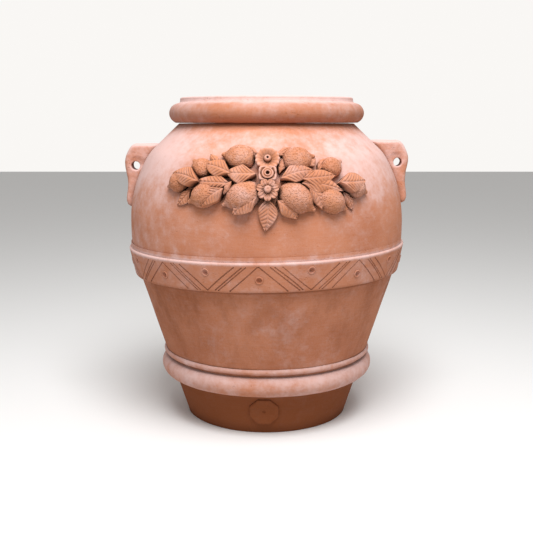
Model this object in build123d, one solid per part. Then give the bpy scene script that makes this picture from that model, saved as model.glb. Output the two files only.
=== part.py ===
from build123d import *
from functools import partial
from math import asin, atan, atan2, cos, degrees, radians, sin, tan
import os

# A hand-built terracotta oil jar: a hollow body with a rolled rim, a raised belt, two pierced
# ear handles and a garland of lemons, leaves and flowers on the front of the shoulder.
# Millimetres and degrees. The origin is the middle of the base, +Z is up, the front faces -Y.
# Angles round the jar are measured from the front, positive towards +X.

# Outer wall, from the base to the neck
jar_height = 800
base_radius = 206
belly_radius = 343
belly_height = 429        # where the leaning wall, carried on straight, meets the belly radius
belly_bend = 285          # radius that turns the leaning wall upright
shoulder_height = 495     # where the upright wall begins to curve in
shoulder_bend = 311
shoulder_turn = 31        # how far the shoulder arc leans in
neck_bend = 100
neck_turn = 46            # lean of the straight run below the rim

# Shell
wall = 26
floor_thickness = 30
drain_radius = 15
seam = 0.2                # left between a stuck-on piece and what it lies on

# Rim
lip_height = 13           # upright lip above the roll
lip_width = 28
lip_round = 5
roll_half_width = 27.5
roll_half_height = 26
rim_sink = 24             # how far the seat on the neck lies below the middle of the roll
rim_set_back = 3          # how far the middle of the roll lies inside the neck's outer edge

# Coils at the foot
foot_roll_height = 130
foot_roll_radius = 27
foot_roll_sink = 2.3      # how far a coil's centre lies behind the face of the wall
foot_bead_height = 167.5
foot_bead_radius = 8.5
foot_bead_sink = 1.6

# Belt
belt_bottom = 371
belt_lip_height = 436
belt_top = 452
belt_ledge = 9.8          # stands out from the wall at its lower edge
belt_lip_out = 7.2        # stands out from the wall at its lip
belt_lip_round = 5
belt_feather = 2          # thickness left where its top runs into the wall
belt_tilt = 1             # the belt climbs a little towards the right
belt_periods = 9
zigzag_start = -3         # angle of the first upper point of the zigzag
line_lean = 50            # lean of the incised lines from upright
line_width = 2.6
line_depth = 1.8
line_shares = (0, 0.5, 0.66, 1)
line_margin = 3           # bare strip between the lines and the edges of the belt
dimple_radius = 5.5
dimple_depth = 4
upper_dimple_height = 419
lower_dimple_height = 401

# Ear handles
handle_hole_radius = 10.2
handle_hole_inset = 14.5  # how far the hole's centre lies inside the belly radius
left_hole_height = 632
right_hole_height = 641
handle_width = 46
handle_above = 55         # from the hole up to the flat top
handle_reach = 28         # from the hole out to the fullest part
handle_waist = 21.5       # from the hole out to the narrow part below it
handle_waist_drop = 42
handle_tail = 26          # from the hole out to the lower end
handle_tail_drop = 84
handle_below = 103
handle_corner = 12
handle_root = 78          # how far the blank reaches in behind the wall, before it is cut to it
handle_dish_radius = 55
handle_dish_depth = 4

# Pad low on the front
boss_angle = -1.5
boss_height = 60
boss_across = 70
boss_thickness = 3
bump_radius = 13
bump_rise = 3.5
bump_hole_radius = 3

# Garland, placed round its own centre
garland_angle = 0.4
garland_height = 600
sprig_root = 22           # how far a pressed piece reaches back, before it is cut to the wall
leaf_dip = 6              # how far the ends of a leaf fall below its middle
leaf_belly = 0.42         # where a leaf is widest, as a share of its length
midrib_width = 1.8
midrib_depth = 1.6
nipple_length = 7
nipple_radius = 4.2
nipple_start = 35         # angle on the lemon's oval where the tip begins to rise

# Each lemon: angle, height above the garland's centre, direction of its tip, length, radius, rise
lemons = {
    "lemon_top_left": (-11.4, 60, 167, 66, 28, 5),
    "lemon_upper_left": (-27.3, 37, 143, 50, 22, 4),
    "lemon_far_left": (-35.9, 2, 204, 52, 22, 4),
    "lemon_lower_left": (-23.8, -17, 203, 68, 26, 4),
    "lemon_bottom_left": (-8.7, -15, 204, 76, 30, 5),
    "lemon_top_right": (12.1, 55, 15, 66, 28, 5),
    "lemon_upper_right": (26.6, 39, 28, 50, 22, 4),
    "lemon_far_right": (35.9, -3, -23, 54, 23, 4),
    "lemon_lower_right": (24.6, -31, -29, 62, 25, 4),
    "lemon_bottom_right": (10.4, -21, -35, 76, 30, 5),
}

# Each leaf: base and tip as angle and height, width, rise of its back above the wall, tip drop
leaves = {
    "leaf_bottom_middle": ((-0.3, -18), (-0.9, -89), 40, 14, 8),
    "leaf_bottom_right": ((3.2, -26), (10.4, -64), 30, 18, 10),
    "leaf_bottom_left": ((-3.5, -20), (-12.0, -54), 30, 26, 8),
    "leaf_left_inner": ((-4.3, 22), (-15.0, 26), 32, 26, 4),
    "leaf_left_upper": ((-13.4, 24), (-25.2, 43), 32, 24, 8),
    "leaf_left_middle": ((-13.8, 6), (-27.1, 9), 28, 22, 4),
    "leaf_far_left": ((-26.0, 9), (-40.0, 18), 34, 29, 8),
    "leaf_far_left_low": ((-30.5, -6), (-35.9, -41), 24, 9, 4),
    "leaf_lower_left": ((-15.5, -4), (-23.8, -41), 28, 26, 8),
    "leaf_between_left": ((-13.0, 11), (-15.6, -16), 13, 24, 4),
    "leaf_upper_left_back": ((-20.5, 45), (-25.2, 67), 14, 10, 4),
    "leaf_top_left_back": ((-4.3, 64), (-12.5, 87), 16, 9, 3),
    "leaf_tip_left": ((-30.5, 28), (-36.9, 32), 16, 9, 3),
    "leaf_top_right_back": ((3.6, 64), (10.7, 85), 16, 9, 3),
    "leaf_right_inner": ((4.6, 15), (17.5, 30), 32, 26, 4),
    "leaf_right_upper": ((12.2, 14), (26.3, 22), 30, 24, 8),
    "leaf_right_middle": ((12.5, 6), (28.6, -11), 28, 22, 4),
    "leaf_far_right": ((26.6, 4), (39.2, 7), 36, 29, 8),
    "leaf_lower_right": ((14.9, 3), (19.8, -46), 24, 20, 6),
    "leaf_far_right_low": ((29.9, -12), (33.5, -51), 20, 9, 4),
    "leaf_upper_right_inner": ((15.5, 38), (19.7, 57), 14, 16, 4),
    "leaf_upper_right_back": ((20.3, 34), (26.1, 60), 14, 10, 4),
    "leaf_flower_right": ((4.4, 27), (5.8, 58), 14, 16, 3),
}

# Flowers: angle, height above the garland's centre
cup_place = (0, 56)
cup_radius = 24
cup_rise = 20
cup_dish_radius = 16
cup_dish_depth = 9
cup_ruffles = 15
cup_ruffle_radius = 2.4
cup_eye_radius = 7.3
cup_eye_rise = 20
cup_eye_dome = 4
cup_eye_hole_radius = 1.8

rosette_place = (0, 25)
rosette_width = 40
rosette_depth = 36
rosette_corner = 12
rosette_notches = (40, 140)
rosette_rise = 22
rosette_heart_radius = 14
rosette_heart_rise = 25
rosette_ring_outer = 10.5
rosette_ring_inner = 8
rosette_ring_depth = 4
rosette_hole_radius = 2.8
rosette_hole_depth = 12

daisy_place = (0, -8)
daisy_radius = 25
daisy_petal_count = 7
daisy_first_petal = 115
daisy_petal_half_width = 8.2
daisy_petal_inner = 5     # where the petals start, under the eye
daisy_rise = 30
daisy_dip = 7
daisy_eye_radius = 8
daisy_eye_rise = 33
daisy_eye_dome = 3


# Outline of the wall
lean = degrees(atan((belly_radius - base_radius) / belly_height))
bend_height = belly_height + belly_bend * tan(radians(lean) / 2)
bend_centre = belly_radius - belly_bend
shoulder_centre = belly_radius - shoulder_bend
roll_height = jar_height - lip_height - roll_half_height
neck_top = roll_height - rim_sink


def polar(centre, radius, angle):
    return (centre[0] + radius * cos(radians(angle)), centre[1] + radius * sin(radians(angle)))


neck_centre = polar((shoulder_centre, shoulder_height), shoulder_bend - neck_bend, shoulder_turn)


def wall_at(height):
    """Radius of the outer wall, and how far its outward face tilts up, at a height."""
    bend_share = (height - bend_height) / belly_bend
    if bend_share < -sin(radians(lean)):
        return base_radius + height * tan(radians(lean)), -lean
    if height < bend_height:
        return bend_centre + belly_bend * cos(asin(bend_share)), degrees(asin(bend_share))
    if height < shoulder_height:
        return belly_radius, 0
    shoulder_share = (height - shoulder_height) / shoulder_bend
    if shoulder_share < sin(radians(shoulder_turn)):
        return shoulder_centre + shoulder_bend * cos(asin(shoulder_share)), degrees(asin(shoulder_share))
    neck_share = (height - neck_centre[1]) / neck_bend
    if neck_share < sin(radians(neck_turn)):
        return neck_centre[0] + neck_bend * cos(asin(neck_share)), degrees(asin(neck_share))
    start = polar(neck_centre, neck_bend, neck_turn)
    return start[0] - (height - start[1]) * tan(radians(neck_turn)), neck_turn


def body(inset):
    """The solid inside the outer wall, moved in square to the wall by the inset."""
    foot_inset = inset / cos(radians(lean))
    belt_centre = (bend_centre, bend_height)
    round_centre = (shoulder_centre, shoulder_height)
    foot = (base_radius - foot_inset, 0)
    lean_end = polar(belt_centre, belly_bend - inset, -lean)
    lean_middle = polar(belt_centre, belly_bend - inset, -lean / 2)
    upright_start = (belly_radius - inset, bend_height)
    upright_end = (belly_radius - inset, shoulder_height)
    shoulder_middle = polar(round_centre, shoulder_bend - inset, shoulder_turn / 2)
    shoulder_end = polar(round_centre, shoulder_bend - inset, shoulder_turn)
    neck_middle = polar(neck_centre, neck_bend - inset, (shoulder_turn + neck_turn) / 2)
    neck_end = polar(neck_centre, neck_bend - inset, neck_turn)
    top = (neck_end[0] - (neck_top - neck_end[1]) * tan(radians(neck_turn)), neck_top)
    outline = Curve() + [
        Line((0, 0), foot),
        Line(foot, lean_end),
        ThreePointArc(lean_end, lean_middle, upright_start),
        Line(upright_start, upright_end),
        ThreePointArc(upright_end, shoulder_middle, shoulder_end),
        ThreePointArc(shoulder_end, neck_middle, neck_end),
        Line(neck_end, top),
        Line(top, (0, neck_top)),
        Line((0, neck_top), (0, 0)),
    ]
    return turned(make_face(outline))


def turned(profile):
    """A profile drawn as radius and height, turned about the jar's axis."""
    return revolve(Plane.XZ * profile, Axis.Z)


def slab(low, high):
    """Everything between two heights."""
    across = 4 * belly_radius
    return Pos(0, 0, (low + high) / 2) * Box(across, across, high - low)


def main_piece(shape):
    """The largest solid, without the crumbs that trimming leaves."""
    return max(shape.solids(), key=lambda solid: solid.volume)


shell = body(0) - body(wall)
seat = body(-seam)        # what stuck-on pieces are cut to
upper_join = (belt_bottom + belt_lip_height) / 2
parts = {}


# Body sections, joined behind the roll at the foot and behind the belt
parts["foot_section"] = shell & slab(0, foot_roll_height)
parts["lower_belly"] = shell & slab(foot_roll_height, upper_join)
parts["shoulder_section"] = shell & slab(upper_join, neck_top)
drain = Pos(0, 0, floor_thickness / 2) * Cylinder(drain_radius, 2 * floor_thickness)
parts["floor_slab"] = (body(wall + seam) & slab(0, floor_thickness)) - drain


# Rim: a roll on the neck with an upright lip
def rim():
    roll_centre = wall_at(neck_top)[0] - rim_set_back
    roll = Pos(roll_centre, roll_height) * Ellipse(roll_half_width, roll_half_height)
    lip_middle = (roll_centre - lip_width / 2, (neck_top + jar_height) / 2)
    lip = Pos(*lip_middle) * Rectangle(lip_width, jar_height - neck_top)
    lip = fillet(lip.vertices().group_by(Axis.Y)[-1], lip_round)
    depth = 2 * roll_half_height
    below = Pos(roll_centre, neck_top - depth / 2) * Rectangle(4 * roll_half_width, depth)
    return turned(roll + lip - below)


parts["rim"] = rim()


# Coils laid round the foot
def coil(height, radius, sink):
    centre = wall_at(height)[0] - sink
    return turned(Pos(centre, height) * Circle(radius)) - seat


parts["foot_roll"] = coil(foot_roll_height, foot_roll_radius, foot_roll_sink)
parts["foot_bead"] = coil(foot_bead_height, foot_bead_radius, foot_bead_sink)


# Belt: a raised ring with a zigzag of incised lines and a dimple in each triangle
belt_low_radius = wall_at(belt_bottom)[0] + belt_ledge
belt_high_radius = wall_at(belt_lip_height)[0] + belt_lip_out
belt_middle = (belt_bottom + belt_lip_height) / 2


def belt_face(height):
    """Radius of the belt's outer face at a height."""
    share = (height - belt_bottom) / (belt_lip_height - belt_bottom)
    return belt_low_radius + share * (belt_high_radius - belt_low_radius)


def belt_place(angle, height):
    """A place on the belt's face, with x round the jar, y up and z outwards."""
    a = radians(angle)
    radius = belt_face(height)
    outward = (sin(a), -cos(a), 0)
    along = (cos(a), sin(a), 0)
    return Plane((radius * sin(a), -radius * cos(a), height), x_dir=along, z_dir=outward).location


def belt_blank():
    inner = belt_low_radius - 2 * belt_ledge
    lip_top = (belt_high_radius - belt_lip_round, belt_lip_height + belt_lip_round)
    round_centre = (belt_high_radius - belt_lip_round, belt_lip_height)
    top = (wall_at(belt_top)[0] + belt_feather, belt_top)
    outline = Curve() + [
        Line((inner, belt_bottom), (belt_low_radius, belt_bottom)),
        Line((belt_low_radius, belt_bottom), (belt_high_radius, belt_lip_height)),
        ThreePointArc((belt_high_radius, belt_lip_height), polar(round_centre, belt_lip_round, 45), lip_top),
        Line(lip_top, top),
        Line(top, (inner, belt_top)),
        Line((inner, belt_top), (inner, belt_bottom)),
    ]
    return turned(make_face(outline))


def zigzag():
    """The incised lines, as thin slabs kept to a skin on the belt's face."""
    low = belt_bottom + line_margin
    high = belt_lip_height - line_margin
    skin = turned(Polygon(
        (belt_face(low) - line_depth, low),
        (belt_face(low) + line_depth, low),
        (belt_face(high) + line_depth, high),
        (belt_face(high) - line_depth, high),
        align=None,
    ))
    rise = high - low
    run = degrees(rise * tan(radians(line_lean)) / belt_face(belt_middle))
    half_period = 180 / belt_periods
    group = half_period - run
    cutter = Box(line_width, 2 * rise / cos(radians(line_lean)), 8 * line_depth)
    lines = []
    for period in range(belt_periods):
        upper_point = zigzag_start + period * 2 * half_period
        for share in line_shares:
            for side in (-1, 1):
                angle = upper_point + side * (run / 2 + share * group)
                lines.append(belt_place(angle, belt_middle) * Rot(0, 0, side * line_lean) * cutter)
    return [skin & line for line in lines]


def dimples():
    pits = []
    half_period = 180 / belt_periods
    for step in range(2 * belt_periods):
        height = lower_dimple_height if step % 2 == 0 else upper_dimple_height
        place = belt_place(zigzag_start + step * half_period, height)
        pits.append(place * Cone(dimple_radius / 2, dimple_radius, 2 * dimple_depth))
    return pits


def belt():
    ring = belt_blank() - zigzag() - dimples()
    pivot = Pos(0, 0, belt_middle)
    return pivot * Rot(0, -belt_tilt, 0) * pivot.inverse() * ring - seat


parts["belt"] = belt()


# Ear handles: a tongue of clay bent over the shoulder, pierced for a rope
hole_radius_out = belly_radius - handle_hole_inset


def handle(hole_height):
    """The handle at +X, drawn from the side with the hole's centre as its origin."""
    inner = wall_at(hole_height + handle_above)[0] - hole_radius_out - handle_root
    low_inner = wall_at(hole_height - handle_below)[0] - hole_radius_out - wall
    shoulder = (0, handle_above)
    full = (handle_reach, handle_corner)
    waist = (handle_waist, -handle_waist_drop)
    tail = (handle_tail, -handle_tail_drop)
    end = (handle_tail - handle_corner, -handle_below)
    outline = Curve() + [
        Line((inner, handle_above), shoulder),
        TangentArc(shoulder, full, tangent=(1, 0)),
        Spline(full, waist, tail, end, tangents=[(0, -1), (-1, -1)]),
        Line(end, (low_inner, -handle_below)),
        Line((low_inner, -handle_below), (inner, handle_above)),
    ]
    side = extrude(Plane.XZ * make_face(outline), amount=handle_width / 2, both=True)
    plan_length = handle_reach - inner
    plan = Pos(inner + plan_length / 2, 0) * RectangleRounded(plan_length, handle_width, handle_corner)
    tall = handle_above + handle_below
    blank = side & extrude(Pos(0, 0, -handle_below) * plan, amount=tall)
    hole = Rot(90, 0, 0) * Cylinder(handle_hole_radius, 2 * handle_width)
    reach = handle_width / 2 + handle_dish_radius - handle_dish_depth
    dishes = [Pos(0, side_of * reach, 0) * Sphere(handle_dish_radius) for side_of in (-1, 1)]
    return Pos(hole_radius_out, 0, hole_height) * (blank - hole - dishes)


parts["handle_right"] = handle(right_hole_height) - seat
parts["handle_left"] = Rot(0, 0, 180) * handle(left_hole_height) - seat


# Places on the wall
def on_wall(angle, height):
    """A place on the outer wall, with x round the jar, y up the wall and z outwards."""
    radius, tilt = wall_at(height)
    a = radians(angle)
    t = radians(tilt)
    origin = (radius * sin(a), -radius * cos(a), height)
    outward = (cos(t) * sin(a), -cos(t) * cos(a), sin(t))
    return Plane(origin, x_dir=(cos(a), sin(a), 0), z_dir=outward)


# Pad low on the front: eight-sided, with a low pierced bump
def tap_boss():
    place = on_wall(boss_angle, boss_height).location
    pad = extrude(RegularPolygon(boss_across / 2, 8, major_radius=False, rotation=22.5), wall, both=True)
    ball = (bump_radius**2 + bump_rise**2) / (2 * bump_rise)
    bump = Pos(0, 0, boss_thickness + bump_rise - ball) * Sphere(ball)
    bump = bump & (Pos(0, 0, boss_thickness) * Cylinder(bump_radius, 2 * bump_rise + boss_thickness))
    hole = Pos(0, 0, boss_thickness + bump_rise) * Cylinder(bump_hole_radius, 2 * bump_rise)
    return (place * pad & body(-boss_thickness)) + place * bump - place * hole - seat


parts["tap_boss"] = tap_boss()


# Garland pieces, each pressed in a mould. The shape of a piece, made larger by the seam, is the
# room that later pieces leave for it.
def garland_place(angle, up):
    return on_wall(garland_angle + angle, garland_height + up)


def lemon(angle, up, direction, length, radius, rise, grow=0):
    half = length / 2 + grow
    side = radius + grow
    tip_radius = nipple_radius + grow
    shoulder = (half * cos(radians(nipple_start)), side * sin(radians(nipple_start)))
    tip_centre = (half + nipple_length - tip_radius, 0)
    neck = polar(tip_centre, tip_radius, 90)
    tip = polar(tip_centre, tip_radius, 0)
    outline = Curve() + [
        EllipticalCenterArc((0, 0), half, side, 180, arc_size=nipple_start - 180),
        Line(shoulder, neck),
        ThreePointArc(neck, polar(tip_centre, tip_radius, 45), tip),
        Line(tip, (-half, 0)),
    ]
    fruit = revolve(make_face(outline), Axis.X)
    return garland_place(angle, up).location * Pos(0, 0, rise) * Rot(0, 0, direction) * fruit


def leaf_outline(length, width):
    """A leaf from its base at the left to its tip at the right, centred on its length."""
    base = (-length / 2, 0)
    tip = (length / 2, 0)
    widest = (leaf_belly - 0.5) * length
    sides = Curve()
    for edge in (width / 2, -width / 2):
        sides += TangentArc((widest, edge), base, tangent=(-1, 0))
        sides += TangentArc((widest, edge), tip, tangent=(1, 0))
    return make_face(sides)


def pressed(outline, rise):
    """An outline pressed from behind the wall up to its rise."""
    return extrude(Pos(0, 0, -sprig_root) * outline, amount=sprig_root + rise)


def domed(blank, rise, half_length, dip):
    """A blank with its top rounded off, falling by the dip at the half length."""
    ball = (half_length**2 + dip**2) / (2 * dip)
    return blank & (Pos(0, 0, rise - ball) * Sphere(ball))


def domed_away(blank, rise, half_length):
    """What is left of a blank above the dome of a leaf."""
    ball = (half_length**2 + leaf_dip**2) / (2 * leaf_dip)
    return blank - Pos(0, 0, rise - ball) * Sphere(ball)


def leaf(base, tip, width, rise, drop, grow=0):
    middle = garland_place((base[0] + tip[0]) / 2, (base[1] + tip[1]) / 2)
    start = middle.to_local_coords(garland_place(*base).origin)
    end = middle.to_local_coords(garland_place(*tip).origin)
    length = (end - start).length + 2 * grow
    direction = degrees(atan2(end.Y - start.Y, end.X - start.X))
    top = rise + grow
    blade = domed(pressed(leaf_outline(length, width + 2 * grow), top), top, length / 2, leaf_dip)
    if grow == 0:
        rib = Pos(0, 0, rise) * Box(length, midrib_width, 2 * leaf_dip)
        blade = blade - domed_away(rib, rise - midrib_depth, length / 2)
    fall = Rot(0, degrees(atan2(drop, length)), 0)
    return middle.location * Rot(0, 0, direction) * fall * blade


def cup_petals(grow=0):
    outline = Circle(cup_radius + grow)
    blank = pressed(outline, cup_rise + grow)
    if grow == 0:
        spots = PolarLocations(cup_radius + cup_ruffle_radius / 2, cup_ruffles)
        outline = outline - Circle(cup_eye_radius + 2 * seam)
        blank = pressed(outline - [spot * Circle(cup_ruffle_radius) for spot in spots], cup_rise)
        ball = (cup_dish_radius**2 + cup_dish_depth**2) / (2 * cup_dish_depth)
        blank = blank - Pos(0, 0, cup_rise - cup_dish_depth + ball) * Sphere(ball)
    return garland_place(*cup_place).location * blank


def cup_eye(grow=0):
    radius = cup_eye_radius + grow
    blank = pressed(Circle(radius), cup_eye_rise + grow)
    blank = domed(blank, cup_eye_rise + grow, radius, cup_eye_dome)
    if grow == 0:
        blank = blank - Pos(0, 0, cup_eye_rise) * Cylinder(cup_eye_hole_radius, cup_eye_radius)
    return garland_place(*cup_place).location * blank


def rosette_petals(grow=0):
    outline = RectangleRounded(rosette_width + 2 * grow, rosette_depth + 2 * grow, rosette_corner)
    if grow == 0:
        outline = outline - Circle(rosette_heart_radius + 2 * seam)
    blank = pressed(outline, rosette_rise + grow)
    if grow == 0:
        notch = Box(rosette_width + rosette_depth, midrib_width, 4 * midrib_depth)
        blank = blank - [Pos(0, 0, rosette_rise) * Rot(0, 0, turn) * notch for turn in rosette_notches]
    return garland_place(*rosette_place).location * blank


def rosette_heart(grow=0):
    blank = pressed(Circle(rosette_heart_radius + grow), rosette_heart_rise + grow)
    if grow == 0:
        ring = Circle(rosette_ring_outer) - Circle(rosette_ring_inner)
        groove_floor = rosette_heart_rise - rosette_ring_depth
        blank = blank - extrude(Pos(0, 0, groove_floor) * ring, amount=2 * rosette_ring_depth)
        blank = blank - Pos(0, 0, rosette_heart_rise) * Cylinder(rosette_hole_radius, 2 * rosette_hole_depth)
    return garland_place(*rosette_place).location * blank


def daisy_petals(grow=0):
    half_length = (daisy_radius - daisy_petal_inner) / 2
    petal = Ellipse(half_length + grow, daisy_petal_half_width + grow)
    outline = Circle(daisy_petal_half_width)
    for step in range(daisy_petal_count):
        turn = daisy_first_petal + step * 360 / daisy_petal_count
        outline = outline + Rot(0, 0, turn) * Pos(daisy_petal_inner + half_length, 0) * petal
    if grow == 0:
        outline = outline - Circle(daisy_eye_radius + 2 * seam)
    blank = domed(pressed(outline, daisy_rise + grow), daisy_rise + grow, daisy_radius, daisy_dip)
    return garland_place(*daisy_place).location * blank


def daisy_eye(grow=0):
    blank = pressed(Circle(daisy_eye_radius + grow), daisy_eye_rise + grow)
    blank = domed(blank, daisy_eye_rise + grow, daisy_eye_radius, daisy_eye_dome)
    return garland_place(*daisy_place).location * blank


def garland():
    """All pieces of the garland. Each is cut to the wall and to the pieces laid before it."""
    shapes = {name: partial(lemon, *layout) for name, layout in lemons.items()}
    shapes["cup_flower_eye"] = cup_eye
    shapes["cup_flower_petals"] = cup_petals
    shapes["rosette_heart"] = rosette_heart
    shapes["rosette_petals"] = rosette_petals
    shapes["daisy_eye"] = daisy_eye
    shapes["daisy_petals"] = daisy_petals
    shapes |= {name: partial(leaf, *layout) for name, layout in leaves.items()}
    pieces = {}
    rooms = []
    for name, shape in shapes.items():
        piece = shape()
        box = piece.bounding_box()
        near = [room for room in rooms if box.overlaps(room.bounding_box())]
        pieces[name] = main_piece(piece - [seat, *near])
        rooms.append(shape(grow=seam))
    return pieces


parts |= garland()


os.makedirs("parts", exist_ok=True)
for name, shape in parts.items():
    export_step(main_piece(shape), f"parts/{name}.step")
print(len(parts), "pieces")
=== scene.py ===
# %% [markdown]
# # A terracotta jar with a garland of lemons
# A big garden jar is built up by hand in stages, coils and a belt are laid on while the clay is
# soft, and handles, fruit, leaves and flowers are stuck on last. We follow the same order here.
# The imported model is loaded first. It fixes every place and size, and we only dress it.

# %% Load the frame
import math
import random

import bpy
import numpy as np
from mathutils import Matrix, Vector


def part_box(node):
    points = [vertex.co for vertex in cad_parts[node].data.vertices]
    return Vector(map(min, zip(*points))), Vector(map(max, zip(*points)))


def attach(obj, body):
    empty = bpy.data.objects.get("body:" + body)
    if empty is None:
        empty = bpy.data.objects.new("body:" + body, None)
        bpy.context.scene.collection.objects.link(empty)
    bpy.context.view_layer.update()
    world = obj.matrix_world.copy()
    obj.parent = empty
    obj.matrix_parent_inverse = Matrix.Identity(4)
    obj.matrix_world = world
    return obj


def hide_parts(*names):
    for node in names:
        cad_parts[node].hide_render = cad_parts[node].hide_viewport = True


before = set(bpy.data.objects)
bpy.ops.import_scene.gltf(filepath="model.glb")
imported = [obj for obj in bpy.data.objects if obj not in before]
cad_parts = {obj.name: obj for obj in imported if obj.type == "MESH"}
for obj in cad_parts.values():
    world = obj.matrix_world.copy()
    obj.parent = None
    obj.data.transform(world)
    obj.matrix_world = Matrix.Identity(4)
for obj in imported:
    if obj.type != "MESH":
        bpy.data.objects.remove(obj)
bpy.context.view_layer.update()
print("pieces in the frame:", len(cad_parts))

# %% [markdown]
# ## The shape of the wall
# Everything on the jar sits on its wall, so the wall's outline comes first. It is a leaning line
# from the base, an arc that turns it upright, a straight stretch, a wide arc for the shoulder, a
# tighter arc for the neck and a short straight run under the rim. The heights and radii are in metres.

# %% Driving sizes of the wall
MM = 0.001
jar_height = 800 * MM
base_radius = 206 * MM
belly_radius = 343 * MM
belly_height = 429 * MM
belly_bend = 285 * MM
shoulder_height = 495 * MM
shoulder_bend = 311 * MM
shoulder_turn = math.radians(31)
neck_bend = 100 * MM
neck_turn = math.radians(46)
wall = 26 * MM
floor_thickness = 30 * MM
drain_radius = 15 * MM
foot_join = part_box("foot_section")[1].z
belt_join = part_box("lower_belly")[1].z
neck_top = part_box("shoulder_section")[1].z
lean = math.atan((belly_radius - base_radius) / belly_height)
bend_height = belly_height + belly_bend * math.tan(lean / 2)
neck_centre_radius = belly_radius - shoulder_bend + (shoulder_bend - neck_bend) * math.cos(shoulder_turn)
neck_centre_height = shoulder_height + (shoulder_bend - neck_bend) * math.sin(shoulder_turn)
print("joins at", round(foot_join, 4), round(belt_join, 4), round(neck_top, 4))


# %% Radius and tilt of the wall at a height
def wall_at(height):
    """Radius of the outer wall and how far its face tilts up, at a height."""
    bend = (height - bend_height) / belly_bend
    if bend < -math.sin(lean):
        return base_radius + height * math.tan(lean), -lean
    if height < bend_height:
        return belly_radius - belly_bend * (1 - math.cos(math.asin(bend))), math.asin(bend)
    if height < shoulder_height:
        return belly_radius, 0.0
    turn = math.asin(min(1, (height - shoulder_height) / shoulder_bend))
    if turn < shoulder_turn:
        return belly_radius - shoulder_bend * (1 - math.cos(turn)), turn
    turn = math.asin(min(1, (height - neck_centre_height) / neck_bend))
    if turn < neck_turn:
        return neck_centre_radius + neck_bend * math.cos(turn), turn
    start_height = neck_centre_height + neck_bend * math.sin(neck_turn)
    start_radius = neck_centre_radius + neck_bend * math.cos(neck_turn)
    return start_radius - (height - start_height) * math.tan(neck_turn), neck_turn


def inner_radius(height):
    """Radius of the inner face, one wall thickness in, square to the outer face."""
    outer = [wall_at(h) + (h,) for h in np.linspace(-0.02, neck_top + 0.03, 300)]
    heights = [h - wall * math.sin(tilt) for _, tilt, h in outer]
    radii = [radius - wall * math.cos(tilt) for radius, tilt, _ in outer]
    return float(np.interp(height, heights, radii))


print("widest radius", wall_at(0.46)[0], "inner", round(inner_radius(0.46), 4))

# %% [markdown]
# ## A few helpers
# Blender's operators act on what is selected, so `only` selects one piece and nothing else. A profile
# is drawn as a chain of edges by extruding one vertex again and again, as a potter's template is
# cut, and is then spun round an axis. That is how a turned form is best made: few points, exact sizes.


# %% Selecting and finishing
def only(obj):
    if bpy.context.object and bpy.context.object.mode != "OBJECT":
        bpy.ops.object.mode_set(mode="OBJECT")
    bpy.ops.object.select_all(action="DESELECT")
    obj.select_set(True)
    bpy.context.view_layer.objects.active = obj


def start_edit(obj):
    only(obj)
    bpy.ops.object.mode_set(mode="EDIT")
    bpy.ops.mesh.select_all(action="SELECT")


def end_edit():
    bpy.ops.object.mode_set(mode="OBJECT")


def close_skin():
    """Turns every face outwards and leaves edit mode."""
    bpy.ops.mesh.select_all(action="SELECT")
    bpy.ops.mesh.normals_make_consistent(inside=False)
    end_edit()


def extrude(step):
    bpy.ops.mesh.extrude_region_move(TRANSFORM_OT_translate={"value": step})


def apply_modifier(obj, kind, **settings):
    only(obj)
    modifier = obj.modifiers.new(kind.lower(), kind)
    for key, value in settings.items():
        setattr(modifier, key, value)
    bpy.ops.object.modifier_apply(modifier=modifier.name)


def joined(pieces):
    only(pieces[0])
    for piece in pieces:
        piece.select_set(True)
    bpy.ops.object.join()
    return bpy.context.object


def apply_place(obj, place):
    obj.matrix_world = place
    only(obj)
    bpy.ops.object.transform_apply(location=True, rotation=True, scale=True)


def named(obj, name):
    obj.name = name
    obj.data.name = name
    return obj


# %% Chains and spins
def chain(name, points):
    """Edges through the points, which are 3-D and in metres."""
    bpy.ops.mesh.primitive_plane_add(size=MM, location=(0, 0, 0))
    obj = named(bpy.context.object, name)
    start_edit(obj)
    bpy.ops.mesh.merge(type="CENTER")
    bpy.ops.transform.translate(value=points[0])
    for before, after in zip(points, points[1:]):
        step = Vector(after) - Vector(before)
        bpy.ops.mesh.extrude_vertices_move(TRANSFORM_OT_translate={"value": step})
    end_edit()
    return obj


def spun(name, profile, steps, axis=(0, 0, 1), closed=True):
    """A profile of (radius, height) points turned round the axis of the jar, or of a lemon."""
    points = [(radius, 0, height) for radius, height in profile]
    if axis == (1, 0, 0):
        points = [(height, 0, radius) for radius, height in profile]
    if closed:
        points.append(points[0])
    obj = chain(name, points)
    start_edit(obj)
    bpy.ops.mesh.spin(steps=steps, angle=2 * math.pi, center=(0, 0, 0), axis=axis)
    bpy.ops.mesh.select_all(action="SELECT")
    bpy.ops.mesh.remove_doubles(threshold=0.01 * MM)
    close_skin()
    return obj


def arc(centre, radius, start, end, count):
    """Points on an arc, with angles in degrees."""
    turns = [math.radians(start + (end - start) * i / (count - 1)) for i in range(count)]
    return [(centre[0] + radius * math.cos(t), centre[1] + radius * math.sin(t)) for t in turns]


# %% [markdown]
# ## Uneven clay
# Nothing on a hand-built jar is quite true. A Displace modifier with a soft cloud texture moves the
# surface by a millimetre or so. The strokes only go inwards, so the jar keeps its outer size.


# %% Unevenness
def cloud(name, size, depth=1, kind="CLOUDS"):
    texture = bpy.data.textures.new(name, kind)
    texture.noise_scale = size
    if kind == "CLOUDS":
        texture.noise_depth = depth
    return texture


slow_waves = cloud("slow_waves", 90 * MM)
hand_marks = cloud("hand_marks", 22 * MM, 2)
skin_pits = cloud("skin_pits", 3.4 * MM, kind="VORONOI")
fine_lumps = cloud("fine_lumps", 8 * MM, 2)


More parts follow.
